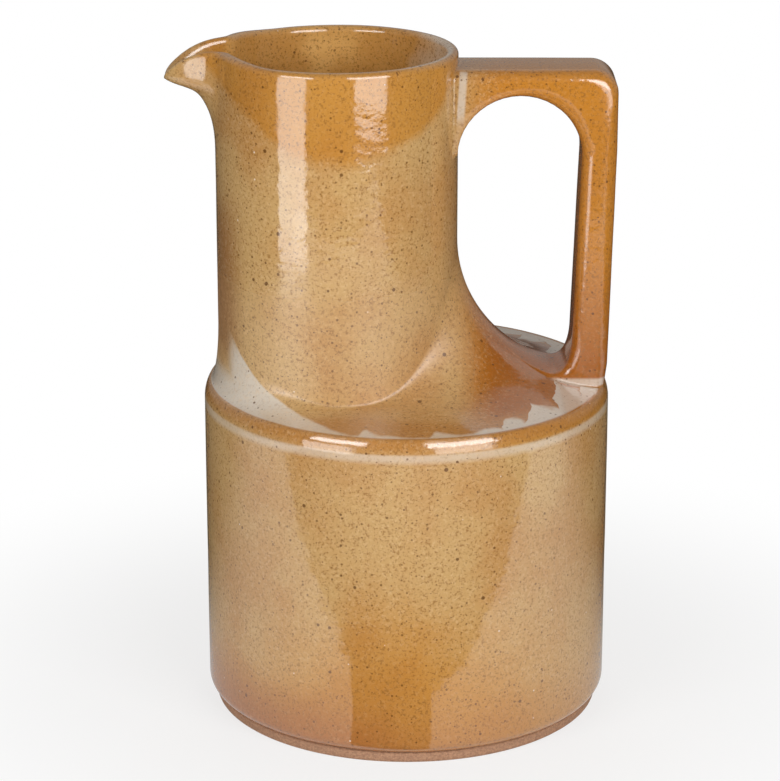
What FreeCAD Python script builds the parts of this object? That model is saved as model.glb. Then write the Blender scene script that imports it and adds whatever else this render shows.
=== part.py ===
import FreeCAD, Part
import math
import os

# Stoneware pitcher: one piece of glazed clay, all sizes in mm.
# Z is up, z = 0 is the plane of the foot ring and the body's axis is the Z axis.
# The spout points to -X and the handle to +X.

# Body
body_radius = 66.0
crease_height = 109.2
shoulder_rise = 5.6
shoulder_radius = 10.6
heel_radius = 4.2
foot_inset = 2.5
foot_width = 7.5
foot_height = 3.4
foot_recess = 2.5
foot_round = 0.8
groove_depth = 0.7

# Neck
neck_radius = 38.8
neck_top = 218.1
neck_setback = 3.2

# Concave flare from the neck down to the crease at the shoulder's edge
flare_height_handle = 47.2
flare_height_spout = 20.0
flare_height_front = 2.4
foot_slope = 4.0
crease_step = 0.3

# Spout
spout_reach = 17.6
spout_length = 35.1
spout_depth = 11.2
spout_half_angle = 24.0
spout_drop = 8.0
rim_lift = 1.3
lift_angle = 60.0

# Walls
wall = 4.6
rim_wall = 4.0
spout_wall = 1.5
floor_thickness = 6.0
inner_corner = 3.4
hollow_sink = 1.0
rim_round = 1.6
lip_turn = 70.0

# Handle slab
handle_width = 25.0
handle_edge_round = 4.6
handle_drop = 4.9
handle_overhang = 0.7
handle_foot_inset = 1.2
handle_bend_drop = 26.2
handle_corner = 8.0
strap_top = 11.2
strap_foot = 11.8
bar_height = 8.7
arch_height = 19.5
arch_clearance = 0.5
saddle_height = 0.8
grip_corner = 8.0

SECTION_POINTS = 96


def crease_radius():
    # Where the shoulder's convex arc stops.
    return body_radius - (shoulder_radius - math.sqrt(shoulder_radius ** 2 - shoulder_rise ** 2))


def neck_axis_x():
    # The neck stands off the body's axis, a small setback from the crease on the spout's side.
    return neck_radius + neck_setback - round(crease_radius(), 1)


def distance_to_circle(angle, radius):
    # From the neck's axis to a circle about the body's axis, along one direction.
    side = neck_axis_x() * math.cos(angle)
    return -side + math.sqrt(side ** 2 - neck_axis_x() ** 2 + radius ** 2)


def flare_height(angle):
    # Tall towards the handle, lower towards the spout and only a small fillet at the front.
    if math.cos(angle) > 0.0:
        return flare_height_front + (flare_height_handle - flare_height_front) * math.cos(angle) ** 2.5
    return flare_height_front + (flare_height_spout - flare_height_front) * abs(math.cos(angle)) ** 1.5


def spout_amount(z):
    # The spout's underside swells slowly, then turns out almost level near its tip.
    start = neck_top - spout_length
    underside = neck_top - spout_depth
    if z <= start:
        return 0.0
    swell = 0.45 * spout_reach * ((z - start) / (underside - start)) ** 3
    turn = 0.55 * spout_reach / (1.0 + math.exp(-(z - underside) / 0.9))
    return min(swell, 0.45 * spout_reach) + turn


def off_spout(angle):
    # Degrees away from the spout's middle plane.
    return abs(math.degrees(math.atan2(math.sin(angle - math.pi), math.cos(angle - math.pi))))


def spout_share(angle):
    off = off_spout(angle)
    if off >= spout_half_angle:
        return 0.0
    return (0.5 + 0.5 * math.cos(math.pi * off / spout_half_angle)) ** 1.5


def rim_height(angle):
    # Level round the mouth, lifted a little beside the spout, and dropping along the spout.
    rise = min(max((lift_angle - off_spout(angle)) / (lift_angle - spout_half_angle), 0.0), 1.0)
    lift = rim_lift * rise * rise * (3.0 - 2.0 * rise)
    return neck_top + lift - (spout_drop + rim_lift) * spout_share(angle) ** 2.2


def section(radius_at, height_at):
    # One closed row of control points; the small growth makes a round row measure true.
    growth = 3.0 / (2.0 + math.cos(2.0 * math.pi / SECTION_POINTS))
    row = []
    for i in range(SECTION_POINTS):
        angle = 2.0 * math.pi * i / SECTION_POINTS
        radius = radius_at(angle) * growth
        x = neck_axis_x() + radius * math.cos(angle)
        row.append(FreeCAD.Vector(x, radius * math.sin(angle), height_at(angle)))
    return row


def skin_solid(rows):
    # One smooth periodic skin over all the sections, closed by a flat face at each end.
    across = len(rows)
    poles = [[row[i] for row in rows] for i in range(SECTION_POINTS)]
    surface = Part.BSplineSurface()
    surface.buildFromPolesMultsKnots(
        poles,
        [1] * (SECTION_POINTS + 1), [4] + [1] * (across - 4) + [4],
        [float(i) for i in range(SECTION_POINTS + 1)], [float(i) for i in range(across - 2)],
        True, False, 3, 3)
    side = surface.toShape()
    faces = [side]
    for edge in side.Edges:
        if edge.isClosed():
            faces.append(Part.Face(Part.Wire([edge])))
    shell = Part.Shell(faces)
    shell.sewShape()
    return Part.Solid(shell)


def neck_solid(radius, foot_circle, foot_z, spout_shift, inward):
    # Flare, neck and spout as closed sections from the foot circle up to half of the lip.
    # The lip of the outside turns inward (1) and the lip of the hollow outward (-1): the two
    # meet at the rim line.
    rows = []
    # The flare leaves the foot circle a little steeper than level.
    last = math.radians(90.0 - foot_slope)
    for i in range(13):
        phi = last * (1.0 - i / 12.0)

        def flare_radius(angle, phi=phi):
            gap = distance_to_circle(angle, foot_circle) - radius
            return radius + gap * (1.0 - math.cos(phi)) / (1.0 - math.cos(last))

        def flare_z(angle, phi=phi):
            return foot_z + flare_height(angle) * (1.0 - math.sin(phi) / math.sin(last))

        rows.append(section(flare_radius, flare_z))
    flare_top = foot_z + flare_height_handle + 8.0
    for part in (0.03, 0.1, 0.25, 0.5, 0.75, 1.0):
        def blend_z(angle, part=part):
            low = foot_z + flare_height(angle)
            return low + (flare_top - low) * part

        rows.append(section(lambda angle: radius, blend_z))
    start = neck_top - spout_length
    level_rows = max(2, math.ceil((start - flare_top) / 6.0))
    for i in range(1, level_rows):
        level = flare_top + (start - flare_top) * i / level_rows
        rows.append(section(lambda angle: radius, lambda angle, level=level: level))
    turn = math.radians(lip_turn)
    lip_in = rim_round * (1.0 - math.cos(turn))
    lip_up = rim_round * math.sin(turn)
    slope = math.tan(math.pi / 2.0 - turn)
    lip = lip_up + max(0.5 * rim_wall - lip_in, 0.0) * slope

    def wall_z(angle, part):
        return start + (rim_height(angle) - lip - start) * part

    def wall_radius(angle, part):
        return radius + spout_amount(wall_z(angle, part) - spout_shift) * spout_share(angle)

    rise_rows = max(6, math.ceil(spout_length / 1.6))
    for i in range(rise_rows + 1):
        part = i / rise_rows
        rows.append(section(lambda angle, part=part: wall_radius(angle, part),
                            lambda angle, part=part: wall_z(angle, part)))
    steps = []
    for share in (0.3, 0.65, 1.0):
        steps.append((rim_round * (1.0 - math.cos(share * turn)), rim_round * math.sin(share * turn)))
    for run in (1.0, 3.0, 6.0):
        steps.append((lip_in + run, lip_up + run * slope))
    for side, up in steps:
        rows.append(section(lambda angle, side=side: wall_radius(angle, 1.0) - inward * side,
                            lambda angle, up=up: wall_z(angle, 1.0) + up))
    # What lies past the rim line is cut away, so it only has to end flat and clear of the rim.
    end_radius = 0.5 * neck_radius if inward > 0 else neck_radius + spout_reach + 12.0
    for up in (14.0, 20.0):
        rows.append(section(lambda angle: end_radius, lambda angle, up=up: neck_top + up))
    return skin_solid(rows)


def line(a, b):
    return Part.makeLine(FreeCAD.Vector(a[0], 0, a[1]), FreeCAD.Vector(b[0], 0, b[1]))


def arc(a, m, b):
    return Part.Arc(FreeCAD.Vector(a[0], 0, a[1]), FreeCAD.Vector(m[0], 0, m[1]),
                    FreeCAD.Vector(b[0], 0, b[1])).toShape()


def arc_point(centre, radius, degrees):
    turn = math.radians(degrees)
    return (centre[0] + radius * math.cos(turn), centre[1] + radius * math.sin(turn))


def turned(edges):
    face = Part.Face(Part.Wire(edges))
    return face.revolve(FreeCAD.Vector(0, 0, 0), FreeCAD.Vector(0, 0, 1), 360)


def body_solid():
    foot_radius = body_radius - foot_inset
    foot_inner = foot_radius - foot_width
    heel = (body_radius - heel_radius, foot_height + heel_radius)
    # The heel's arc stops where it meets the groove above the foot ring.
    groove_x = foot_radius - groove_depth
    stop = -math.degrees(math.acos((groove_x - heel[0]) / heel_radius))
    heel_low = arc_point(heel, heel_radius, stop)
    heel_mid = arc_point(heel, heel_radius, 0.5 * stop)
    heel_top = (body_radius, heel[1])
    shoulder_start = (body_radius, crease_height - shoulder_rise)
    round_centre = (body_radius - shoulder_radius, shoulder_start[1])
    end = math.degrees(math.asin(shoulder_rise / shoulder_radius))
    shoulder_mid = arc_point(round_centre, shoulder_radius, 0.5 * end)
    crease = (crease_radius(), crease_height)
    return turned([
        line((0, foot_recess), (foot_inner - 1.5, foot_recess)),
        line((foot_inner - 1.5, foot_recess), (foot_inner, 0)),
        line((foot_inner, 0), (foot_radius - foot_round, 0)),
        line((foot_radius - foot_round, 0), (foot_radius, foot_round)),
        line((foot_radius, foot_round), (foot_radius, foot_height)),
        line((foot_radius, foot_height), heel_low),
        arc(heel_low, heel_mid, heel_top),
        line(heel_top, shoulder_start),
        arc(shoulder_start, shoulder_mid, crease),
        line(crease, (0, crease_height)),
        line((0, crease_height), (0, foot_recess)),
    ])


def body_cavity():
    radius = body_radius - wall
    low = foot_recess + floor_thickness
    high = crease_height - wall
    c = inner_corner
    floor_mid = arc_point((radius - c, low + c), c, -45.0)
    roof_mid = arc_point((radius - c, high - c), c, 45.0)
    return turned([
        line((0, low), (radius - c, low)),
        arc((radius - c, low), floor_mid, (radius, low + c)),
        line((radius, low + c), (radius, high - c)),
        arc((radius, high - c), roof_mid, (radius - c, high)),
        line((radius - c, high), (0, high)),
        line((0, high), (0, low)),
    ])


def handle_slab():
    # One flat slab in the X-Z plane, open towards the neck, with all its long edges rounded.
    neck_edge = neck_axis_x() + neck_radius
    inside_x = neck_edge - 12.0
    low_z = crease_height - 5.0
    top_z = neck_top - handle_drop
    outer_x = body_radius + handle_overhang
    foot_x = body_radius - handle_foot_inset
    grip_x = outer_x - strap_top
    grip_foot_x = foot_x - strap_foot
    corner = (outer_x - handle_corner, top_z - handle_corner)
    bend = (outer_x, top_z - handle_bend_drop)
    # The opening's top is half an ellipse between the neck and the grip.
    arch_half = 0.5 * (grip_x - neck_edge - arch_clearance)
    arch_x = grip_x - arch_half
    arch_base = top_z - bar_height - arch_height
    arch = []
    for i in range(25):
        turn = math.pi * i / 24.0
        arch.append(FreeCAD.Vector(arch_x + arch_half * math.cos(turn), 0,
                                   arch_base + arch_height * math.sin(turn)))
    # The opening's floor follows the flare, raised by the saddle height.
    gap = crease_radius() - neck_edge
    floor_end = math.acos((crease_radius() - grip_foot_x) / gap)
    floor_start = math.radians(14.0)
    floor = []
    for i in range(15):
        phi = floor_start + (floor_end - floor_start) * i / 14.0
        floor.append(FreeCAD.Vector(
            crease_radius() - gap * math.cos(phi), 0,
            crease_height + saddle_height + flare_height_handle * (1.0 - math.sin(phi))))
    arch_curve = Part.BSplineCurve()
    arch_curve.interpolate(Points=arch)
    floor_curve = Part.BSplineCurve()
    floor_curve.interpolate(Points=floor)
    arch_end = (arch[-1].x, arch[-1].z)
    upper = (inside_x, arch_end[1] - 6.0)
    lower = (inside_x, floor[0].z + 6.0)
    slab = Part.Face(Part.Wire([
        line((inside_x, top_z), (corner[0], top_z)),
        arc((corner[0], top_z), arc_point(corner, handle_corner, 45.0), (outer_x, corner[1])),
        line((outer_x, corner[1]), bend),
        line(bend, (foot_x, crease_height)),
        line((foot_x, crease_height), (foot_x - 2.0, low_z)),
        line((foot_x - 2.0, low_z), (inside_x, low_z)),
        line((inside_x, low_z), lower),
        line(lower, (floor[0].x, floor[0].z)),
        floor_curve.toShape(),
        line((floor[-1].x, floor[-1].z), (arch[0].x, arch[0].z)),
        arch_curve.toShape(),
        line(arch_end, upper),
        line(upper, (inside_x, top_z)),
    ])).extrude(FreeCAD.Vector(0, handle_width, 0))
    slab.translate(FreeCAD.Vector(0, -handle_width / 2.0, 0))
    # The opening's lower corner, next to the grip, is rounded first.
    grip_edge = []
    for edge in slab.Edges:
        middle = edge.CenterOfMass
        at_floor_end = math.hypot(middle.x - floor[-1].x, middle.z - floor[-1].z) < 0.01
        if at_floor_end and edge.BoundBox.YLength > 0.5 * handle_width:
            grip_edge.append(edge)
    slab = slab.makeFillet(grip_corner, grip_edge)
    long_edges = []
    for edge in slab.Edges:
        box = edge.BoundBox
        if box.YLength < 0.01 and box.XMax > inside_x + 0.5 and box.ZMax > low_z + 0.5:
            long_edges.append(edge)
    # The bar over the arch is the thinnest place, so it limits the rounding.
    return slab.makeFillet(min(handle_edge_round, 0.46 * bar_height), long_edges)


def pitcher():
    foot_circle = crease_radius() - crease_step
    neck = neck_solid(neck_radius, foot_circle, crease_height, 0.0, 1)
    outside = body_solid().fuse(neck).fuse(handle_slab())
    # The neck's hollow starts a little inside the body's hollow, so that they cross cleanly.
    hollow_foot = body_radius - wall - inner_corner
    hollow_low = crease_height - wall - hollow_sink
    hollow = neck_solid(neck_radius - rim_wall, hollow_foot, hollow_low, spout_wall, -1)
    return outside.cut(body_cavity()).cut(hollow)


os.makedirs("parts", exist_ok=True)
pitcher().Solids[0].exportStep("parts/pitcher.step")
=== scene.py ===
import bpy
import math
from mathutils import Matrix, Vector


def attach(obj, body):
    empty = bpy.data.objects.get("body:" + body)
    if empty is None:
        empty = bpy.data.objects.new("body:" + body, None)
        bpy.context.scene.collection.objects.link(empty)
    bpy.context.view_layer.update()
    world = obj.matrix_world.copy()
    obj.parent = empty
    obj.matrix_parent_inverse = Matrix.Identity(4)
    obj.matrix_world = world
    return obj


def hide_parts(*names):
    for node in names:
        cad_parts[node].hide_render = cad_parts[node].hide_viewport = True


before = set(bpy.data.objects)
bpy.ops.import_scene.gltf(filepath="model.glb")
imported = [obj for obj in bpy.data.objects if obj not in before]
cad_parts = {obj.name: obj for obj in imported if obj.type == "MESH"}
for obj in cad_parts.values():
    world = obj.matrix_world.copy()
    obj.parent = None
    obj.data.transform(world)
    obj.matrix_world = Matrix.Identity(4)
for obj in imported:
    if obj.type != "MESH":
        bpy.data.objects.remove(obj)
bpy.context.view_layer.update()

# ---------------------------------------------------------------------------------------------
# The clay wall: body, flared shoulder, neck, pouring spout and the hollow inside.
# The real one is a thrown and turned stoneware cylinder with a second, narrower cylinder luted
# on off its axis, faired in by hand, and a spout pulled from the soft rim with a finger.

BODY_RADIUS = 66.0
CREASE_HEIGHT = 109.2
SHOULDER_RISE = 5.6
SHOULDER_RADIUS = 10.6
HEEL_RADIUS = 4.2
FOOT_OUTER_RADIUS = 63.5
FOOT_INNER_RADIUS = 56.0
FOOT_HEIGHT = 3.4
FOOT_RECESS = 2.5
GROOVE_RADIUS = 62.8
CREASE_RADIUS = BODY_RADIUS - (SHOULDER_RADIUS - math.sqrt(SHOULDER_RADIUS ** 2 - SHOULDER_RISE ** 2))
NECK_X = -22.4
NECK_RADIUS = 38.8
NECK_TOP = 218.1
FLARE_HANDLE = 47.2
FLARE_SPOUT = 20.0
FLARE_FRONT = 2.4
HANDLE_SHARPNESS = 3.6
SPOUT_SHARPNESS = 1.5
SPOUT_REACH = 17.2
SPOUT_LENGTH = 35.1
SPOUT_DEPTH = 11.2
SPOUT_HALF_ANGLE = 24.0
SPOUT_DROP = 8.0
SPOUT_SWELL = 0.45
RIM_LIFT = 1.3
WALL = 4.6
RIM_WALL = 4.0
INSIDE_FLOOR = 8.5
INSIDE_TOP = 104.6
INSIDE_ROUND = 3.4


def off_spout(angle):
    # Degrees away from the middle of the spout.
    return abs(math.degrees(math.atan2(math.sin(angle - math.pi), math.cos(angle - math.pi))))


def to_circle(angle, radius):
    # From the neck's axis out to a circle about the body's axis.
    side = NECK_X * math.cos(angle)
    return -side + math.sqrt(side ** 2 - NECK_X ** 2 + radius ** 2)


def flare_height(angle):
    lean = math.cos(angle)
    if lean > 0.0:
        return FLARE_FRONT + (FLARE_HANDLE - FLARE_FRONT) * lean ** HANDLE_SHARPNESS
    return FLARE_FRONT + (FLARE_SPOUT - FLARE_FRONT) * abs(lean) ** SPOUT_SHARPNESS


def spout_amount(z):
    start = NECK_TOP - SPOUT_LENGTH
    underside = NECK_TOP - SPOUT_DEPTH
    if z <= start:
        return 0.0
    # A slow swell up to the underside of the lip, and a quick turn outwards there.
    swell = SPOUT_SWELL * SPOUT_REACH * min(((z - start) / (underside - start)) ** 3, 1.0)
    turn_out = (1.0 - SPOUT_SWELL) * SPOUT_REACH / (1.0 + math.exp(-(z - underside) / 0.9))
    return swell + turn_out


def spout_share(angle):
    off = off_spout(angle)
    if off >= SPOUT_HALF_ANGLE:
        return 0.0
    return (0.5 + 0.5 * math.cos(math.pi * off / SPOUT_HALF_ANGLE)) ** 1.5


def rim_height(angle):
    rise = min(max((60.0 - off_spout(angle)) / (60.0 - SPOUT_HALF_ANGLE), 0.0), 1.0)
    lift = RIM_LIFT * rise * rise * (3.0 - 2.0 * rise)
    return NECK_TOP + lift - (SPOUT_DROP + RIM_LIFT) * spout_share(angle) ** 2.2


# Columns stand closer together through the spout than round the rest of the neck.
SPOUT_SIDE = 152.0
ROUND_COLUMNS = 160
SPOUT_COLUMNS = 80
COLUMNS = []
for step in range(ROUND_COLUMNS):
    COLUMNS.append(math.radians(-SPOUT_SIDE + 2.0 * SPOUT_SIDE * step / ROUND_COLUMNS))
for step in range(SPOUT_COLUMNS):
    COLUMNS.append(math.radians(SPOUT_SIDE + (360.0 - 2.0 * SPOUT_SIDE) * step / SPOUT_COLUMNS))


def body_row(radius, z):
    # A level row about the body's axis, its columns running on from the neck's at the crease.
    row = []
    for angle in COLUMNS:
        reach = to_circle(angle, CREASE_RADIUS)
        turn = math.atan2(reach * math.sin(angle), NECK_X + reach * math.cos(angle))
        row.append((radius * math.cos(turn), radius * math.sin(turn), z))
    return row


def neck_row(radius_at, z_at):
    row = []
    for angle in COLUMNS:
        radius = radius_at(angle)
        row.append((NECK_X + radius * math.cos(angle), radius * math.sin(angle), z_at(angle)))
    return row


def flare_rows(radius, foot_circle, foot_z, count):
    # A quarter of an ellipse from level at the foot circle to upright against the neck.
    last = math.radians(86.0)
    rows = []
    for i in range(count):
        phi = last * (1.0 - i / count)

        def flare_radius(angle, phi=phi):
            gap = to_circle(angle, foot_circle) - radius
            return radius + gap * (1.0 - math.cos(phi)) / (1.0 - math.cos(last))

        def flare_z(angle, phi=phi):
            return foot_z + flare_height(angle) * (1.0 - math.sin(phi) / math.sin(last))

        rows.append(neck_row(flare_radius, flare_z))
    top = foot_z + FLARE_HANDLE + 8.0
    for i in range(16):
        part = (i / 16.0) ** 1.7

        def blend_z(angle, part=part):
            low = foot_z + flare_height(angle)
            return low + (top - low) * part

        rows.append(neck_row(lambda angle: radius, blend_z))
    start = NECK_TOP - SPOUT_LENGTH
    for i in range(6):
        level = top + (start - top) * i / 6.0
        rows.append(neck_row(lambda angle: radius, lambda angle, level=level: level))
    return rows


LIP_ROUND = 1.75
LIP_TURN = math.radians(80.0)
LIP_RISE = LIP_ROUND * math.sin(LIP_TURN)


def spout_rows(radius, shift, count, inward):
    # The straight wall and the spout, and then one side of the rounded lip.
    start = NECK_TOP - SPOUT_LENGTH

    def wall_z(angle, part):
        return start + (rim_height(angle) - LIP_RISE - 0.1 - start) * part

    def wall_radius(angle, part):
        return radius + spout_amount(wall_z(angle, part) - shift) * spout_share(angle)

    rows = []
    for i in range(count + 1):
        part = i / count
        rows.append(neck_row(lambda angle, part=part: wall_radius(angle, part),
                             lambda angle, part=part: wall_z(angle, part)))
    for i in range(1, 7):
        turn = LIP_TURN * i / 6.0
        side = LIP_ROUND * (1.0 - math.cos(turn))
        up = LIP_ROUND * math.sin(turn)
        rows.append(neck_row(
            lambda angle, side=side: wall_radius(angle, 1.0) - inward * side,
            lambda angle, up=up: wall_z(angle, 1.0) + up))
    return rows


def arc_rows(x, z, radius, first, last, count):
    rows = []
    for i in range(count + 1):
        turn = math.radians(first + (last - first) * i / count)
        rows.append(body_row(x + radius * math.cos(turn), z + radius * math.sin(turn)))
    return rows


wall_rows = []
for radius in (8.0, 24.0, 40.0, 51.0):
    wall_rows.append(body_row(radius, FOOT_RECESS))
# The foot ring slopes in to the recess, and its outer edge is rounded up into the groove.
for inset, z in ((2.0, 2.5), (1.6, 2.4), (0.3, 0.5), (-0.1, 0.12), (-0.6, 0.0), (-3.5, 0.0)):
    wall_rows.append(body_row(FOOT_INNER_RADIUS - inset, z))
for inset, z in ((1.2, 0.0), (0.6, 0.12), (0.25, 0.4), (0.05, 0.9), (0.0, 1.6), (0.0, 2.7), (0.1, 3.1),
                 (0.4, 3.35), (0.7, 3.45)):
    wall_rows.append(body_row(FOOT_OUTER_RADIUS - inset, z))
heel_x = BODY_RADIUS - HEEL_RADIUS
heel_z = FOOT_HEIGHT + HEEL_RADIUS
groove = -math.degrees(math.acos((GROOVE_RADIUS - heel_x) / HEEL_RADIUS))
wall_rows += arc_rows(heel_x, heel_z, HEEL_RADIUS, groove + 4.0, 0.0, 12)
shoulder_z = CREASE_HEIGHT - SHOULDER_RISE
for i in range(1, 32):
    wall_rows.append(body_row(BODY_RADIUS, heel_z + (shoulder_z - heel_z) * i / 32.0))
shoulder_end = math.degrees(math.asin(SHOULDER_RISE / SHOULDER_RADIUS))
wall_rows += arc_rows(BODY_RADIUS - SHOULDER_RADIUS, shoulder_z, SHOULDER_RADIUS, 0.0, shoulder_end - 3.0, 12)
# The crease itself is softened by the glaze.
for inset, drop in ((0.13, 0.34), (0.03, 0.12), (0.12, 0.01), (0.3, 0.0)):
    wall_rows.append(body_row(CREASE_RADIUS - inset + 0.1, CREASE_HEIGHT - drop))
wall_rows += flare_rows(NECK_RADIUS, CREASE_RADIUS - 0.3, CREASE_HEIGHT, 34)
wall_rows += spout_rows(NECK_RADIUS, 0.0, 36, 1.0)
# The inside follows the outside at a wall's thickness, from the floor up to the lip.
inside_low = INSIDE_FLOOR + INSIDE_ROUND
inside_high = INSIDE_TOP - INSIDE_ROUND
inside_rows = arc_rows(BODY_RADIUS - WALL - INSIDE_ROUND, inside_low, INSIDE_ROUND, -90.0, 0.0, 5)
for i in range(1, 8):
    inside_rows.append(body_row(BODY_RADIUS - WALL, inside_low + (inside_high - inside_low) * i / 8.0))
inside_rows += arc_rows(BODY_RADIUS - WALL - INSIDE_ROUND, inside_high, INSIDE_ROUND, 0.0, 80.0, 5)
inside_rows += flare_rows(NECK_RADIUS - RIM_WALL, BODY_RADIUS - WALL - INSIDE_ROUND - 0.5, INSIDE_TOP, 14)
inside_rows += spout_rows(NECK_RADIUS - RIM_WALL, 1.5, 30, -1.0)
for radius in (40.0, 20.0, 8.0):
    inside_rows.insert(0, body_row(radius, INSIDE_FLOOR))
wall_rows += reversed(inside_rows)

wall_points = [(0.0, 0.0, FOOT_RECESS)]
for row in wall_rows:
    wall_points += row
wall_points.append((0.0, 0.0, INSIDE_FLOOR))
around = len(COLUMNS)
wall_faces = []
for i in range(around):
    after = (i + 1) % around
    wall_faces.append((0, 1 + after, 1 + i))
    for j in range(len(wall_rows) - 1):
        low = 1 + j * around
        wall_faces.append((low + i, low + after, low + around + after, low + around + i))
    top = 1 + (len(wall_rows) - 1) * around
    wall_faces.append((top + i, top + after, len(wall_points) - 1))

# ---------------------------------------------------------------------------------------------
# The handle: a flat strap cut from a slab of the same clay, with a square top corner and an
# arched opening, its edges rounded with a wet sponge, luted to the neck and to the flare.

STRAP_WIDTH = 25.0
ROOT_X = 13.2
ROOT_ROUND = 4.0
EDGE_ROUND = 4.6
SADDLE_ROUND = 1.8
CORNER_POINTS = 8
STRAP_TOP = NECK_TOP - 4.9
OUTER_X = BODY_RADIUS + 0.7
FOOT_X = BODY_RADIUS - 1.2
GRIP_X = OUTER_X - 11.2
GRIP_FOOT_X = FOOT_X - 11.8
CORNER = 8.0
BEND_Z = STRAP_TOP - 26.2
NECK_EDGE = NECK_X + NECK_RADIUS
ARCH_HALF = 0.5 * (GRIP_X - NECK_EDGE + 0.4)
ARCH_X = GRIP_X - ARCH_HALF
ARCH_HEIGHT = 19.5
BAR_DEPTH = 8.7
ARCH_BASE = STRAP_TOP - BAR_DEPTH - ARCH_HEIGHT
GRIP_LOW_Z = 124.5
HEEL_Z = CREASE_HEIGHT + 7.0
SADDLE = 0.8
SADDLE_X = 45.5
SADDLE_RUN = 22.0


def between(a, b, part):
    return (a[0] + (b[0] - a[0]) * part, a[1] + (b[1] - a[1]) * part)


def bow(first, pull, last, part):
    # A point on the curve from first to last that is drawn towards pull.
    return between(between(first, pull, part), between(pull, last, part), part)


def arch_point(degrees):
    turn = math.radians(degrees)
    return (ARCH_X + ARCH_HALF * math.cos(turn), ARCH_BASE + ARCH_HEIGHT * math.sin(turn))


def corner_point(degrees):
    turn = math.radians(degrees)
    return (OUTER_X - CORNER + CORNER * math.cos(turn), STRAP_TOP - CORNER + CORNER * math.sin(turn))


def saddle_point(x, lift):
    gap = CREASE_RADIUS - NECK_EDGE
    lean = (CREASE_RADIUS - x) / gap
    return (x, CREASE_HEIGHT + lift + FLARE_HANDLE * (1.0 - math.sqrt(max(0.0, 1.0 - lean * lean))))


# Each station is a point on the outer and one on the inner edge of the strap's side view, and how
# far the strap's edges are rounded there.
stations = []
for i in range(3):
    stations.append(((ROOT_X + 1.2 * i, STRAP_TOP), (ROOT_X + 1.4 * i, ARCH_BASE - 2.0 + i), ROOT_ROUND))
for i in range(1, 17):
    outer = between((ROOT_X + 2.4, STRAP_TOP), (OUTER_X - CORNER, STRAP_TOP), i / 16.0)
    rounding = ROOT_ROUND + (EDGE_ROUND - ROOT_ROUND) * i / 16.0
    stations.append((outer, arch_point(180.0 - 130.0 * i / 16.0), rounding))
for i in range(1, 13):
    stations.append((corner_point(90.0 - 90.0 * i / 12.0), arch_point(50.0 - 38.0 * i / 12.0), EDGE_ROUND))
for i in range(1, 7):
    outer = between((OUTER_X, STRAP_TOP - CORNER), (OUTER_X, BEND_Z), i / 6.0)
    stations.append((outer, arch_point(12.0 - 12.0 * i / 6.0), EDGE_ROUND))
grip_low = (GRIP_FOOT_X + 0.35, GRIP_LOW_Z)
heel = (FOOT_X + 0.2, HEEL_Z)
for i in range(1, 21):
    outer = between((OUTER_X, BEND_Z), heel, i / 20.0)
    inner = between((GRIP_X, ARCH_BASE), grip_low, i / 20.0)
    stations.append((outer, inner, EDGE_ROUND))
# The foot turns in along the flare and carries on as a low saddle up to the neck.
saddle_start = saddle_point(SADDLE_X, SADDLE)
under_heel = (FOOT_X - 1.4, CREASE_HEIGHT - 4.2)
under_saddle = (SADDLE_X + 1.0, CREASE_HEIGHT - 1.2)
for i in range(1, 13):
    part = i / 12.0
    inner = bow(grip_low, (GRIP_FOOT_X - 0.4, 112.0), saddle_start, part)
    if part < 0.5:
        outer = between(heel, under_heel, 2.0 * part)
    else:
        outer = between(under_heel, under_saddle, 2.0 * part - 1.0)
    stations.append((outer, inner, EDGE_ROUND - (EDGE_ROUND - SADDLE_ROUND) * part))
for i in range(1, 13):
    slope = i / 12.0
    x = SADDLE_X - SADDLE_RUN * slope
    inner = saddle_point(x, SADDLE - 1.8 * slope)
    outer = saddle_point(x, -3.6)
    stations.append(((outer[0] - 2.2 * slope, outer[1] + 1.5 * slope), inner, SADDLE_ROUND))


def strap_ring(outer, inner, rounding):
    # A rounded rectangle across the strap at one station.
    depth = math.hypot(outer[0] - inner[0], outer[1] - inner[1])
    rounding = min(rounding, 0.46 * depth)
    half = STRAP_WIDTH / 2.0
    if inner[0] < SADDLE_X and inner[1] < ARCH_BASE - 10.0:
        # The saddle narrows as it runs up the flare.
        half *= 0.30 + 0.70 * (inner[0] - SADDLE_X + SADDLE_RUN) / SADDLE_RUN
    ring = []
    for centre_u, centre_v, first in ((depth - rounding, half - rounding, 0.0),
                                      (rounding, half - rounding, 90.0),
                                      (rounding, rounding - half, 180.0),
                                      (depth - rounding, rounding - half, 270.0)):
        for i in range(CORNER_POINTS):
            turn = math.radians(first + 90.0 * i / (CORNER_POINTS - 1))
            u = centre_u + rounding * math.cos(turn)
            v = centre_v + rounding * math.sin(turn)
            x, z = between(inner, outer, u / depth)
            ring.append((x, v, z))
    return ring


strap_points = []
for outer, inner, rounding in stations:
    strap_points += strap_ring(outer, inner, rounding)
ring_size = 4 * CORNER_POINTS
strap_faces = []
for j in range(len(stations) - 1):
    low = j * ring_size
    for i in range(ring_size):
        after = (i + 1) % ring_size
        strap_faces.append((low + i, low + ring_size + i, low + ring_size + after, low + after))
strap_faces.append(tuple(range(ring_size)))
strap_faces.append(tuple(reversed(range(len(strap_points) - ring_size, len(strap_points)))))


def plain_mesh(name, points, faces):
    mesh = bpy.data.meshes.new(name)
    mesh.from_pydata([(x / 1000.0, y / 1000.0, z / 1000.0) for x, y, z in points], [], faces)
    mesh.validate()
    mesh.shade_smooth()
    thing = bpy.data.objects.new(name, mesh)
    bpy.context.scene.collection.objects.link(thing)
    return thing

# ---------------------------------------------------------------------------------------------
# The glaze: a glossy honey-amber glaze over tan, iron-specked stoneware, poured thin enough for
# the grain to show. It lies in slight waves, and the foot ring is wiped bare before firing.

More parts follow.
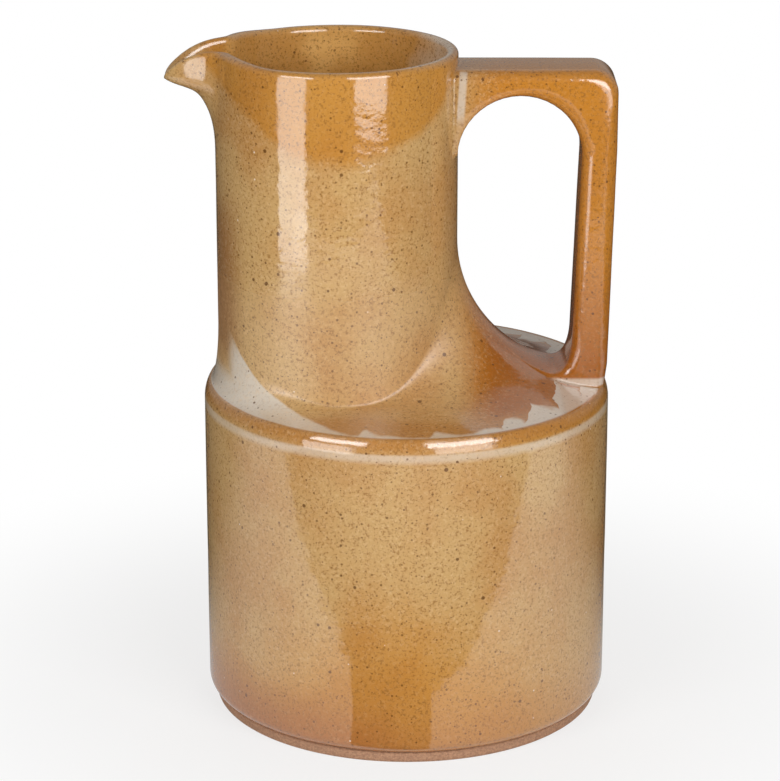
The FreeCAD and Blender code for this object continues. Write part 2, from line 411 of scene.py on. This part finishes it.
AMBER = (0.560, 0.260, 0.050, 1.0)
# The tan is a painted reflection of the bright table in the glaze.
TABLE_SHINE_TAN = (0.592, 0.368, 0.146, 1.0)
THICK_AMBER = (0.545, 0.215, 0.026, 1.0)
# The brown of the painted shade low on the strap.
STRAP_SHADE_BROWN = (0.360, 0.100, 0.007, 1.0)
DRIFT_BROWN = (0.460, 0.175, 0.028, 1.0)
# The red-brown of the painted shade towards the foot.
FOOT_SHADE_RED = (0.390, 0.128, 0.036, 1.0)
# The darker amber of the painted reflection on the shoulder's edge.
DARK_REFLECTION_AMBER = (0.460, 0.185, 0.030, 1.0)
# The pale colour of the painted reflections and highlights.
PALE_REFLECTION = (0.740, 0.660, 0.560, 1.0)
# The brown of the painted shade on the neck's left side.
LEFT_SHADE_BROWN = (0.270, 0.090, 0.024, 1.0)
# The colours of the painted light and painted reflection inside.
INSIDE_LIGHT_HONEY = (0.800, 0.450, 0.145, 1.0)
INSIDE_REFLECTION_MILK = (0.800, 0.720, 0.600, 1.0)
PALE_GRAIN = (0.800, 0.560, 0.300, 1.0)
DARK_DUST = (0.270, 0.115, 0.026, 1.0)
IRON_BROWN = (0.125, 0.046, 0.012, 1.0)
PINHOLE_WHITE = (0.900, 0.800, 0.660, 1.0)
GLAZE_IOR = 1.9


class Recipe:
    # The nodes of one material or of the room, worked out step by step from sockets and numbers.

    def __init__(self, tree):
        self.tree = tree
        tree.nodes.clear()

    def node(self, kind, **settings):
        made = self.tree.nodes.new(kind)
        for key, value in settings.items():
            setattr(made, key, value)
        return made

    def feed(self, socket, value):
        if hasattr(value, "links"):
            self.tree.links.new(value, socket)
        else:
            socket.default_value = value

    def sum(self, kind, *values):
        made = self.node("ShaderNodeMath", operation=kind)
        for socket, value in zip(made.inputs, values):
            self.feed(socket, value)
        return made.outputs[0]

    def times(self, value, *factors):
        for factor in factors:
            value = self.sum("MULTIPLY", value, factor)
        return value

    def times_plus(self, value, factor, extra):
        return self.sum("MULTIPLY_ADD", value, factor, extra)

    def less(self, value, taken):
        return self.sum("SUBTRACT", value, taken)

    def larger(self, first, second):
        return self.sum("MAXIMUM", first, second)

    def ramp(self, value, low, high, to_low=0.0, to_high=1.0):
        # Eases from one level to another between two values. Low may be the larger of the two.
        made = self.node("ShaderNodeMapRange", interpolation_type="SMOOTHSTEP")
        self.feed(made.inputs["Value"], value)
        for key, level in (("From Min", low), ("From Max", high), ("To Min", to_low), ("To Max", to_high)):
            made.inputs[key].default_value = level
        return made.outputs["Result"]

    def band(self, value, start, full, fading, gone):
        # Rises, stays full for a while and falls again.
        return self.times(self.ramp(value, start, full), self.ramp(value, gone, fading))

    def axes(self, place):
        made = self.node("ShaderNodeSeparateXYZ")
        self.feed(made.inputs[0], place)
        return tuple(made.outputs)

    def cloud(self, place, scale, detail=2.0, roughness=0.5):
        made = self.node("ShaderNodeTexNoise")
        for key, value in (("Vector", place), ("Scale", scale), ("Detail", detail), ("Roughness", roughness)):
            self.feed(made.inputs[key], value)
        return made.outputs["Fac"]

    def specks(self, place, cells_per_metre, widest, unevenness):
        # Round spots of uneven size: every cell has one, most of them far too small to see.
        cells = self.node("ShaderNodeTexVoronoi", feature="F1")
        self.feed(cells.inputs["Vector"], place)
        self.feed(cells.inputs["Scale"], cells_per_metre)
        lot = self.node("ShaderNodeSeparateColor")
        self.feed(lot.inputs["Color"], cells.outputs["Color"])
        size = self.times(self.sum("POWER", lot.outputs["Red"], unevenness), widest)
        return self.ramp(self.less(size, cells.outputs["Distance"]), -0.015, 0.02)

    def lay_on(self, tone, share, colour, strength=1.0):
        # Covers a tone with a colour by a share of the way.
        if strength < 1.0:
            share = self.times(share, strength)
        made = self.node("ShaderNodeMix", data_type="RGBA")
        for key, value in ((0, share), (6, tone), (7, colour)):
            self.feed(made.inputs[key], value)
        return made.outputs[2]


def fresh_material(name):
    material = bpy.data.materials.new(name)
    material.use_nodes = True
    recipe = Recipe(material.node_tree)
    recipe.out = recipe.node("ShaderNodeOutputMaterial")
    recipe.surface = recipe.node("ShaderNodeBsdfPrincipled")
    recipe.feed(recipe.out.inputs["Surface"], recipe.surface.outputs["BSDF"])
    recipe.place = recipe.node("ShaderNodeTexCoord").outputs["Object"]
    return material, recipe


honey_glaze, glaze = fresh_material("honey_glaze")
across, depth, height = glaze.axes(glaze.place)
aside = glaze.sum("ABSOLUTE", depth)
depth_squared = glaze.sum("POWER", depth, 2.0)
past_neck_squared = glaze.sum("POWER", glaze.less(across, NECK_X / 1000.0), 2.0)
from_neck = glaze.sum("SQRT", glaze.sum("ADD", past_neck_squared, depth_squared))
drift = glaze.cloud(glaze.place, 24.0, 3.0, 0.55)


def table_shine_share():
    # Painted reflection: the bright table shows in the shine as a lighter tan over the middle of the body
    # and of the neck. The glaze stays amber towards the foot, furthest up in a wedge in the middle of the
    # body, beside the handle, and above a smile round the neck where the table's front edge ends in the
    # shine.
    low_edge = glaze.times_plus(glaze.sum("ABSOLUTE", across), 0.55, height)
    above_dark_wedge = glaze.ramp(glaze.times_plus(drift, 0.05, low_edge), 0.052, 0.108)
    dip = glaze.times_plus(past_neck_squared, -15.0, height)
    below_table_edge = glaze.ramp(glaze.times_plus(drift, 0.020, dip), 0.2020, 0.1960)
    off_handle = glaze.larger(glaze.ramp(across, 0.042, 0.010), glaze.ramp(height, 0.106, 0.104))
    return glaze.times(above_dark_wedge, below_table_edge, off_handle)


def handle_share():
    # Thick on the strap and on the flare beside it.
    return glaze.times(glaze.ramp(across, 0.014, 0.030), glaze.ramp(height, 0.1085, 0.1110))


def foot_shade_share():
    # Painted shade: darker and redder towards the foot, most of all on the left.
    low = glaze.ramp(height, 0.028, 0.003, 0.0, 0.80)
    return glaze.times(low, glaze.ramp(across, 0.05, -0.05, 0.25, 1.0))


def reflection_reach():
    # How far the painted reflection reaches up the flare, drawn like milky glaze: deep on the left, in
    # short runs on the right, with a round drop where each of two runs begins.
    left_run = glaze.larger(glaze.less(-0.019, across), 0.0)
    bend = glaze.sum("POWER", glaze.times(left_run, 50.0), 5.0)
    level = glaze.times_plus(bend, 0.0017, glaze.times_plus(left_run, 0.75, 0.0026))
    right_run = glaze.larger(glaze.less(across, 0.020), 0.0)
    tooth = glaze.sum("FRACT", glaze.times_plus(across, -118.0, glaze.cloud(glaze.place, 90.0)))
    tooth = glaze.times(tooth, glaze.ramp(tooth, 1.0, 0.80))
    level = glaze.times_plus(right_run, glaze.times_plus(tooth, 0.80, 0.14), level)
    for start in (-0.0145, 0.0075):
        past = glaze.less(across, start)
        fall = glaze.sum("MINIMUM", glaze.sum("POWER", math.e, glaze.times(past, -240.0)), 1.0)
        drop = glaze.times(glaze.ramp(past, -0.0010, 0.0022), fall)
        level = glaze.times_plus(drop, 0.0085, level)
    return glaze.times_plus(glaze.cloud(glaze.place, 190.0), 0.0042, level)


def flare_reflection_share():
    # Painted reflection above the crease, drawn like pooled milky glaze; it stops short of the strap,
    # the neck and the crease.
    across_squared = glaze.sum("POWER", across, 2.0)
    from_axis = glaze.sum("SQRT", glaze.sum("ADD", across_squared, depth_squared))
    climb = glaze.less(CREASE_RADIUS / 1000.0, from_axis)
    climb = glaze.times_plus(glaze.less(height, CREASE_HEIGHT / 1000.0), 3.0, climb)
    reflected = glaze.ramp(glaze.less(reflection_reach(), climb), 0.0010, 0.0044)
    off_crease = glaze.times(glaze.ramp(climb, 0.0006, 0.0020), glaze.ramp(height, 0.1086, 0.1091))
    off_strap = glaze.larger(glaze.ramp(across, 0.004, 0.0), glaze.ramp(aside, 0.0126, 0.0134))
    off_neck = glaze.larger(glaze.ramp(height, 0.1200, 0.1130), glaze.ramp(across, -0.0585, -0.0545))
    return glaze.times(reflected, off_crease, off_strap, off_neck, glaze.ramp(height, 0.134, 0.122))


def highlight_lines():
    # Painted highlights: thin pale lines in the corners where the strap was luted on, and a painted
    # reflection in a pale band under the shoulder.
    corner = glaze.band(aside, 0.0098, 0.0108, 0.0134, 0.0146)
    lean = glaze.times_plus(height, -0.06, glaze.sum("ADD", across, 0.0126))
    neck_seam = glaze.band(lean, 0.0160, 0.0167, 0.0182, 0.0192)
    neck_seam = glaze.times(neck_seam, glaze.ramp(height, 0.194, 0.201))
    foot_seam = glaze.band(height, 0.1092, 0.1102, 0.1116, 0.1128)
    foot_seam = glaze.times(foot_seam, glaze.ramp(across, 0.040, 0.047))
    seam = glaze.times(glaze.larger(neck_seam, foot_seam), corner, 0.75)
    under_shoulder = glaze.times(glaze.band(height, 0.1010, 0.1032, 0.1042, 0.1052), 0.50)
    return glaze.larger(seam, under_shoulder)


table_shine = table_shine_share()
thick = handle_share()
# Painted reflections and highlights, over the flare, along the strap's corners and under the shoulder.
painted_shine = glaze.larger(flare_reflection_share(), highlight_lines())
no_painted_shine = glaze.less(1.0, painted_shine)
# Painted reflection: the table's shine laid on the amber as tan.
tone = glaze.lay_on(AMBER, table_shine, TABLE_SHINE_TAN)
tone = glaze.lay_on(tone, thick, THICK_AMBER)
# Painted shade: the strap is darker towards its foot.
tone = glaze.lay_on(tone, glaze.times(thick, glaze.ramp(height, 0.165, 0.118)), STRAP_SHADE_BROWN, 0.90)
tone = glaze.lay_on(tone, glaze.ramp(drift, 0.34, 0.60, 0.48, 0.0), DRIFT_BROWN)
# Painted shade towards the foot.
tone = glaze.lay_on(tone, foot_shade_share(), FOOT_SHADE_RED)
# Painted reflection: the turned edge of the shoulder is a darker amber line, where it shows the dim room
# above in its shine.
tone = glaze.lay_on(tone, glaze.band(height, 0.1040, 0.1075, 0.1094, 0.1102), DARK_REFLECTION_AMBER, 0.75)
# The painted reflections and highlights are laid on in a milky white.
tone = glaze.lay_on(tone, painted_shine, PALE_REFLECTION, 0.90)
# Painted shade: the left side of the neck and of the flare is darker.
left_shade = glaze.times(glaze.ramp(across, -0.0500, -0.0585), glaze.band(height, 0.115, 0.128, 0.160, 0.182))
tone = glaze.lay_on(tone, glaze.times(left_shade, no_painted_shine), LEFT_SHADE_BROWN, 0.65)
# Painted light: inside, the glaze is lighter in uneven patches, and a painted reflection whitens it on the
# handle's side.
inside_light = glaze.times(glaze.ramp(from_neck, 0.0378, 0.0364), glaze.ramp(height, 0.112, 0.120))
tone = glaze.lay_on(tone, glaze.times(inside_light, glaze.ramp(drift, 0.42, 0.60, 0.30, 0.95)), INSIDE_LIGHT_HONEY)
inside_reflection = glaze.ramp(glaze.times_plus(drift, 0.03, across), 0.012, 0.020)
tone = glaze.lay_on(tone, glaze.times(inside_light, inside_reflection), INSIDE_REFLECTION_MILK, 0.60)
# Clay grain, iron specks and pinholes show through everywhere.
grain = glaze.ramp(glaze.cloud(glaze.place, 800.0, 4.0, 0.75), 0.46, 0.74, 0.0, 0.40)
tone = glaze.lay_on(tone, glaze.times(grain, glaze.ramp(table_shine, 0.0, 0.6, 0.35, 1.0)), PALE_GRAIN)
dust = glaze.ramp(glaze.cloud(glaze.place, 1150.0, 3.0, 0.72), 0.50, 0.67, 0.0, 0.72)
tone = glaze.lay_on(tone, glaze.times(dust, glaze.ramp(painted_shine, 0.0, 0.6, 1.0, 0.30)), DARK_DUST)
fine_iron = glaze.times(glaze.specks(glaze.place, 640.0, 0.27, 2.2), 0.85)
bold_iron = glaze.specks(glaze.place, 250.0, 0.17, 2.4)
tone = glaze.lay_on(tone, glaze.larger(fine_iron, bold_iron), IRON_BROWN, 0.80)
tone = glaze.lay_on(tone, glaze.specks(glaze.place, 170.0, 0.06, 3.0), PINHOLE_WHITE, 0.80)
glaze.feed(glaze.surface.inputs["Base Color"], tone)
glaze.feed(glaze.surface.inputs["IOR"], GLAZE_IOR)
# The flare was smoothed with a wet sponge, which left it the least shiny part.
gloss = glaze.ramp(glaze.cloud(glaze.place, 60.0), 0.35, 0.7, 0.06, 0.11)
sponged = glaze.times(glaze.band(height, 0.1090, 0.1125, 0.135, 0.162), no_painted_shine, glaze.less(1.0, thick))
glaze.feed(glaze.surface.inputs["Roughness"], glaze.times_plus(sponged, 0.33, gloss))
soft_edges = glaze.node("ShaderNodeBevel", samples=6)
glaze.feed(soft_edges.inputs["Radius"], 0.0011)
ripple = glaze.node("ShaderNodeBump")
for key, value in (("Strength", 0.40), ("Distance", 0.0003), ("Normal", soft_edges.outputs["Normal"]),
                   ("Height", glaze.cloud(glaze.place, 170.0, 3.0))):
    glaze.feed(ripple.inputs[key], value)
glaze.feed(glaze.surface.inputs["Normal"], ripple.outputs["Normal"])

CLAY_DARK = (0.30, 0.15, 0.085, 1.0)
CLAY_PALE = (0.52, 0.30, 0.18, 1.0)
foot_clay, clay = fresh_material("bare_foot_clay")
grit = clay.cloud(clay.place, 1400.0, 4.0, 0.7)
clay.feed(clay.surface.inputs["Base Color"], clay.lay_on(CLAY_DARK, clay.ramp(grit, 0.3, 0.7), CLAY_PALE))
clay.feed(clay.surface.inputs["Roughness"], clay.ramp(grit, 0.3, 0.7, 0.65, 0.9))
bite = clay.node("ShaderNodeBump")
for key, value in (("Strength", 0.5), ("Distance", 0.0002), ("Height", grit)):
    clay.feed(bite.inputs[key], value)
clay.feed(clay.surface.inputs["Normal"], bite.outputs["Normal"])


def glaze_tree():
    # Pushes the skin in and out along its normal in slow waves, then lays glaze and bare clay on.
    tree = bpy.data.node_groups.new("glaze_waves", "GeometryNodeTree")
    face = tree.interface
    face.new_socket("Geometry", in_out="INPUT", socket_type="NodeSocketGeometry")
    for label, start in (("Wave depth", 0.00025), ("Waves per metre", 32.0), ("Bare foot height", 0.0034)):
        socket = face.new_socket(label, in_out="INPUT", socket_type="NodeSocketFloat")
        socket.default_value = start
    face.new_socket("Glaze", in_out="INPUT", socket_type="NodeSocketMaterial")
    face.new_socket("Clay", in_out="INPUT", socket_type="NodeSocketMaterial")
    face.new_socket("Geometry", in_out="OUTPUT", socket_type="NodeSocketGeometry")
    nodes = tree.nodes
    links = tree.links
    entry = nodes.new("NodeGroupInput")
    noise = nodes.new("ShaderNodeTexNoise")
    noise.inputs["Detail"].default_value = 1.0
    links.new(entry.outputs["Waves per metre"], noise.inputs["Scale"])
    lower = nodes.new("ShaderNodeMath")
    lower.operation = "SUBTRACT"
    lower.inputs[1].default_value = 0.72
    links.new(noise.outputs["Fac"], lower.inputs[0])
    depth = nodes.new("ShaderNodeMath")
    depth.operation = "MULTIPLY"
    links.new(lower.outputs[0], depth.inputs[0])
    links.new(entry.outputs["Wave depth"], depth.inputs[1])
    normal = nodes.new("GeometryNodeInputNormal")
    push = nodes.new("ShaderNodeVectorMath")
    push.operation = "SCALE"
    links.new(normal.outputs[0], push.inputs[0])
    links.new(depth.outputs[0], push.inputs["Scale"])
    place = nodes.new("GeometryNodeInputPosition")
    part = nodes.new("ShaderNodeSeparateXYZ")
    links.new(place.outputs[0], part.inputs[0])
    above = nodes.new("FunctionNodeCompare")
    above.operation = "GREATER_THAN"
    links.new(part.outputs["Z"], above.inputs[0])
    links.new(entry.outputs["Bare foot height"], above.inputs[1])
    below = nodes.new("FunctionNodeCompare")
    below.operation = "LESS_EQUAL"
    links.new(part.outputs["Z"], below.inputs[0])
    links.new(entry.outputs["Bare foot height"], below.inputs[1])
    move = nodes.new("GeometryNodeSetPosition")
    links.new(entry.outputs["Geometry"], move.inputs["Geometry"])
    links.new(above.outputs[0], move.inputs["Selection"])
    links.new(push.outputs[0], move.inputs["Offset"])
    real = nodes.new("GeometryNodeRealizeInstances")
    links.new(move.outputs["Geometry"], real.inputs["Geometry"])
    dip = nodes.new("GeometryNodeSetMaterial")
    links.new(real.outputs["Geometry"], dip.inputs["Geometry"])
    links.new(entry.outputs["Glaze"], dip.inputs["Material"])
    wipe = nodes.new("GeometryNodeSetMaterial")
    links.new(dip.outputs["Geometry"], wipe.inputs["Geometry"])
    links.new(below.outputs[0], wipe.inputs["Selection"])
    links.new(entry.outputs["Clay"], wipe.inputs["Material"])
    leave = nodes.new("NodeGroupOutput")
    links.new(wipe.outputs["Geometry"], leave.inputs["Geometry"])
    return tree


# Wall and strap are one skin, so the two shapes go into one mesh.
clay_points = wall_points + strap_points
clay_faces = wall_faces + [tuple(len(wall_points) + i for i in face) for face in strap_faces]
pitcher = plain_mesh("glazed_pitcher", clay_points, clay_faces)
waves = glaze_tree()
press = pitcher.modifiers.new("glaze", "NODES")
press.node_group = waves
for item in waves.interface.items_tree:
    if item.in_out == "INPUT" and item.name == "Glaze":
        press[item.identifier] = honey_glaze
    if item.in_out == "INPUT" and item.name == "Clay":
        press[item.identifier] = foot_clay
bpy.context.view_layer.update()
dipped = bpy.data.meshes.new_from_object(pitcher.evaluated_get(bpy.context.evaluated_depsgraph_get()))
pitcher.modifiers.clear()
pitcher.data = dipped
dipped.shade_smooth()
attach(pitcher, "root")
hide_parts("pitcher")

# ---------------------------------------------------------------------------------------------
# The table: a plain pale board that ends a good arm's length in front of the pitcher, with a
# grey card laid on it between the pitcher and the viewer, which keeps the middle of the shine deep.
# The card is painted shade: seen only in the shine, it stands in for the shade on the table in front.

TABLE_PALE = (0.88, 0.88, 0.88, 1.0)
# The grey of the card is painted shade in the shine.
SHADE_CARD_GREY = (0.30, 0.30, 0.30, 1.0)
CARD_HEIGHT = 0.0006
CLEAR_NEAR = 0.07
CLEAR_FAR = 0.24


def sheet_of(name, corners, colour):
    mesh = bpy.data.meshes.new(name)
    mesh.from_pydata(corners, [], [tuple(range(len(corners)))])
    sheet = bpy.data.objects.new(name, mesh)
    bpy.context.scene.collection.objects.link(sheet)
    material, paint = fresh_material(name + "_paint")
    paint.feed(paint.surface.inputs["Base Color"], colour)
    paint.feed(paint.surface.inputs["Roughness"], 0.9)
    mesh.materials.append(material)
    return sheet, paint


def clears_to_white(paint, *shine):
    # Seen directly, the paint clears into the white behind it away from the pitcher and keeps the
    # shade close by. In the shine of the glaze it glows by how far forward it lies.
    reach = paint.node("ShaderNodeVectorMath", operation="LENGTH")
    paint.feed(reach.inputs[0], paint.place)
    path = paint.node("ShaderNodeLightPath")
    away = paint.ramp(reach.outputs["Value"], CLEAR_NEAR, CLEAR_FAR, 0.74, 1.0)
    seen = paint.times(away, path.outputs["Is Camera Ray"])
    seen = paint.larger(seen, path.outputs["Is Glossy Ray"])
    shone = paint.ramp(paint.axes(paint.place)[1], *shine)
    glow = paint.node("ShaderNodeEmission")
    paint.feed(glow.inputs["Strength"], paint.larger(shone, path.outputs["Is Camera Ray"]))
    mix = paint.node("ShaderNodeMixShader")
    for key, value in ((0, seen), (1, paint.surface.outputs["BSDF"]), (2, glow.outputs["Emission"])):
        paint.feed(mix.inputs[key], value)
    paint.feed(paint.out.inputs["Surface"], mix.outputs["Shader"])


table_edge = [(-0.43, -0.60, 0.0), (0.43, -0.60, 0.0), (0.43, 0.7, 0.0), (-0.43, 0.7, 0.0)]
table_paint = sheet_of("table", table_edge, TABLE_PALE)[1]
clears_to_white(table_paint, -0.06, 0.13, 0.76, 0.03)
card_edge = ((-20, -66), (-45, -109), (-57, -128), (-89, -143), (-127, -151), (-200, -150), (-316, -142),
             (-360, -595), (360, -595), (316, -138), (210, -147), (134, -145), (95, -138), (56, -129),
             (23, -121), (9, -74), (8, -66))
shade_card, shade_card_paint = sheet_of(
    "table_shade_card", [(x / 1000.0, y / 1000.0, CARD_HEIGHT) for x, y in card_edge], SHADE_CARD_GREY)
clears_to_white(shade_card_paint, -0.14, -0.58, 0.06, 0.67)
# The card only shows in the shine, as painted shade.
shade_card.visible_camera = False
shade_card.visible_diffuse = False
shade_card.visible_shadow = False

# ---------------------------------------------------------------------------------------------
# The light: a tall soft box on either side of the viewer, brighter in its upper half, in a dim
# room that is white where the viewer sees it directly.


def soft_box(name, azimuth, distance, middle, width, height, power):
    light = bpy.data.lights.new(name, "AREA")
    light.shape = "RECTANGLE"
    light.size = width
    light.size_y = height
    light.energy = power
    lamp = bpy.data.objects.new(name, light)
    bpy.context.scene.collection.objects.link(lamp)
    turn = math.radians(azimuth)
    lamp.location = (distance * math.sin(turn), -distance * math.cos(turn), middle)
    aim = Vector((0.0, 0.0, middle - 0.02)) - lamp.location
    lamp.rotation_euler = aim.to_track_quat("-Z", "Y").to_euler()
    lamp.visible_camera = False
    return lamp


soft_box("left_box", -38.0, 0.62, 0.40, 0.34, 0.20, 1.42)
soft_box("left_box_low", -42.0, 0.575, 0.11, 0.27, 0.22, 0.50)
soft_box("right_box", 30.0, 0.62, 0.42, 0.44, 0.26, 2.28)
soft_box("right_box_low", 31.0, 0.62, 0.185, 0.34, 0.26, 0.75)
# A weak box behind lights the far side, and keeps out of the shine.
back_box = soft_box("back_box", 180.0, 0.75, 0.42, 0.50, 0.40, 1.5)
back_box.visible_glossy = False

WHITE = (1.0, 1.0, 1.0, 1.0)
WARM_GREY = (1.0, 0.98, 0.95, 1.0)
room_world = bpy.data.worlds.new("room")
bpy.context.scene.world = room_world
room_world.use_nodes = True
room = Recipe(room_world.node_tree)
room_out = room.node("ShaderNodeOutputWorld")
white = room.node("ShaderNodeBackground")
room.feed(white.inputs["Color"], WHITE)
dim = room.node("ShaderNodeBackground")
room.feed(dim.inputs["Color"], WARM_GREY)
ahead, upwards = room.axes(room.node("ShaderNodeTexCoord").outputs["Generated"])[1:]
path = room.node("ShaderNodeLightPath")
# A dark room behind the viewer, a grey backdrop low behind the pitcher, and a faint pale screen
# above it that only the shine of the glaze picks up.
backdrop = room.times(room.ramp(ahead, -0.2, 1.0, 0.14, 0.36), room.ramp(upwards, -0.15, 0.10, 0.10, 1.0))
screen = room.times(room.ramp(upwards, 0.32, 0.42, 0.0, 0.22), room.ramp(upwards, 0.72, 0.84, 1.0, 0.0),
                    room.ramp(ahead, -0.05, 0.10), path.outputs["Is Glossy Ray"])
room.feed(dim.inputs["Strength"], room.sum("ADD", backdrop, screen))
choose = room.node("ShaderNodeMixShader")
seen = room.larger(path.outputs["Is Camera Ray"], path.outputs["Is Transmission Ray"])
for key, value in ((0, seen), (1, dim.outputs[0]), (2, white.outputs[0])):
    room.feed(choose.inputs[key], value)
room.feed(room_out.inputs["Surface"], choose.outputs[0])
bpy.context.scene.view_settings.view_transform = "Standard"

# ---------------------------------------------------------------------------------------------
# The viewer: a long lens a metre away, looking a little down on the pitcher, so that the mouth
# shows as a flat ring.

lens = bpy.data.cameras.new("viewer")
viewer = bpy.data.objects.new("viewer", lens)
bpy.context.scene.collection.objects.link(viewer)
viewer.location = (-0.005366, -0.96337, 0.42191)
viewer.rotation_euler = (math.pi / 2.0 - 0.318669, 0.0, 0.0)
lens.sensor_width = 36.0
lens.lens = 142.73
lens.clip_start = 0.01
bpy.context.scene.camera = viewer
